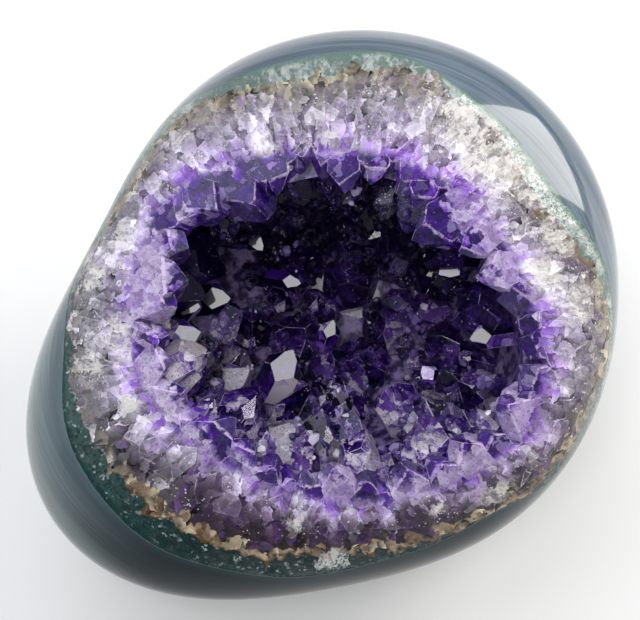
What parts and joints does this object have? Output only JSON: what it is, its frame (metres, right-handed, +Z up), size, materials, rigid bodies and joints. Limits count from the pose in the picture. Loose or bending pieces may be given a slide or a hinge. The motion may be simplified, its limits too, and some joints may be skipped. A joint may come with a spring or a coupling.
{
  "type": "amethyst geode",
  "caption": "Polished freeform amethyst geode: a blue-grey agate stone whose domed cut face opens into a hollow lined with purple quartz crystals, resting on a small flat spot.",
  "frame": {"origin": "on the table under the middle of the stone's outline: the centre of the bounding box, at the flat spot that it rests on", "axes": "+Z up; the crystal-lined face looks towards -Y and up, 65 degrees above the horizon; +X to the right when looking at the face"},
  "size_m": [0.1466, 0.137, 0.1042],
  "materials": {
    "agate": "polished blue-grey agate with teal, tan and pale quartz bands round the hollow",
    "amethyst": "clear to deep purple quartz crystals, glossy natural faces"
  },
  "bodies": {
    "root": {"agate_shell": "agate", "amethyst_crust": "amethyst"}
  },
  "joints": []
}
